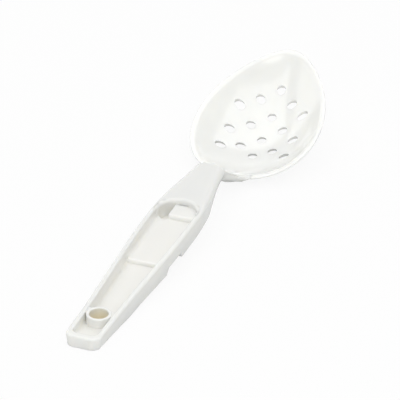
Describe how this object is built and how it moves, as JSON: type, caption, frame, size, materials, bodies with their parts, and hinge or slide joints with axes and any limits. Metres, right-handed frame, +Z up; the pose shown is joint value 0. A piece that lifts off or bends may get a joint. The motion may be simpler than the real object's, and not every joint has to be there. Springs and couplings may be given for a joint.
{
  "type": "perforated serving spoon",
  "caption": "Moulded white plastic serving spoon with a perforated egg-shaped bowl, a channelled handle, a hanging hole and a notch that rests on a pan's rim.",
  "frame": {"origin": "middle of the spoon's length and width, on the surface that it lies on, bowl up", "axes": "+Y from the end of the handle towards the tip of the bowl, +Z up out of the bowl, +X across, and the spoon is the same on both sides of X = 0"},
  "size_m": [0.058, 0.2524, 0.0354],
  "materials": {
    "white_plastic": "gloss"
  },
  "bodies": {
    "root": {"bowl": "white_plastic", "rim": "white_plastic", "neck": "white_plastic", "handle": "white_plastic", "hang_boss": "white_plastic", "front_step": "white_plastic", "front_lug": "white_plastic", "rear_lug": "white_plastic"}
  },
  "joints": []
}
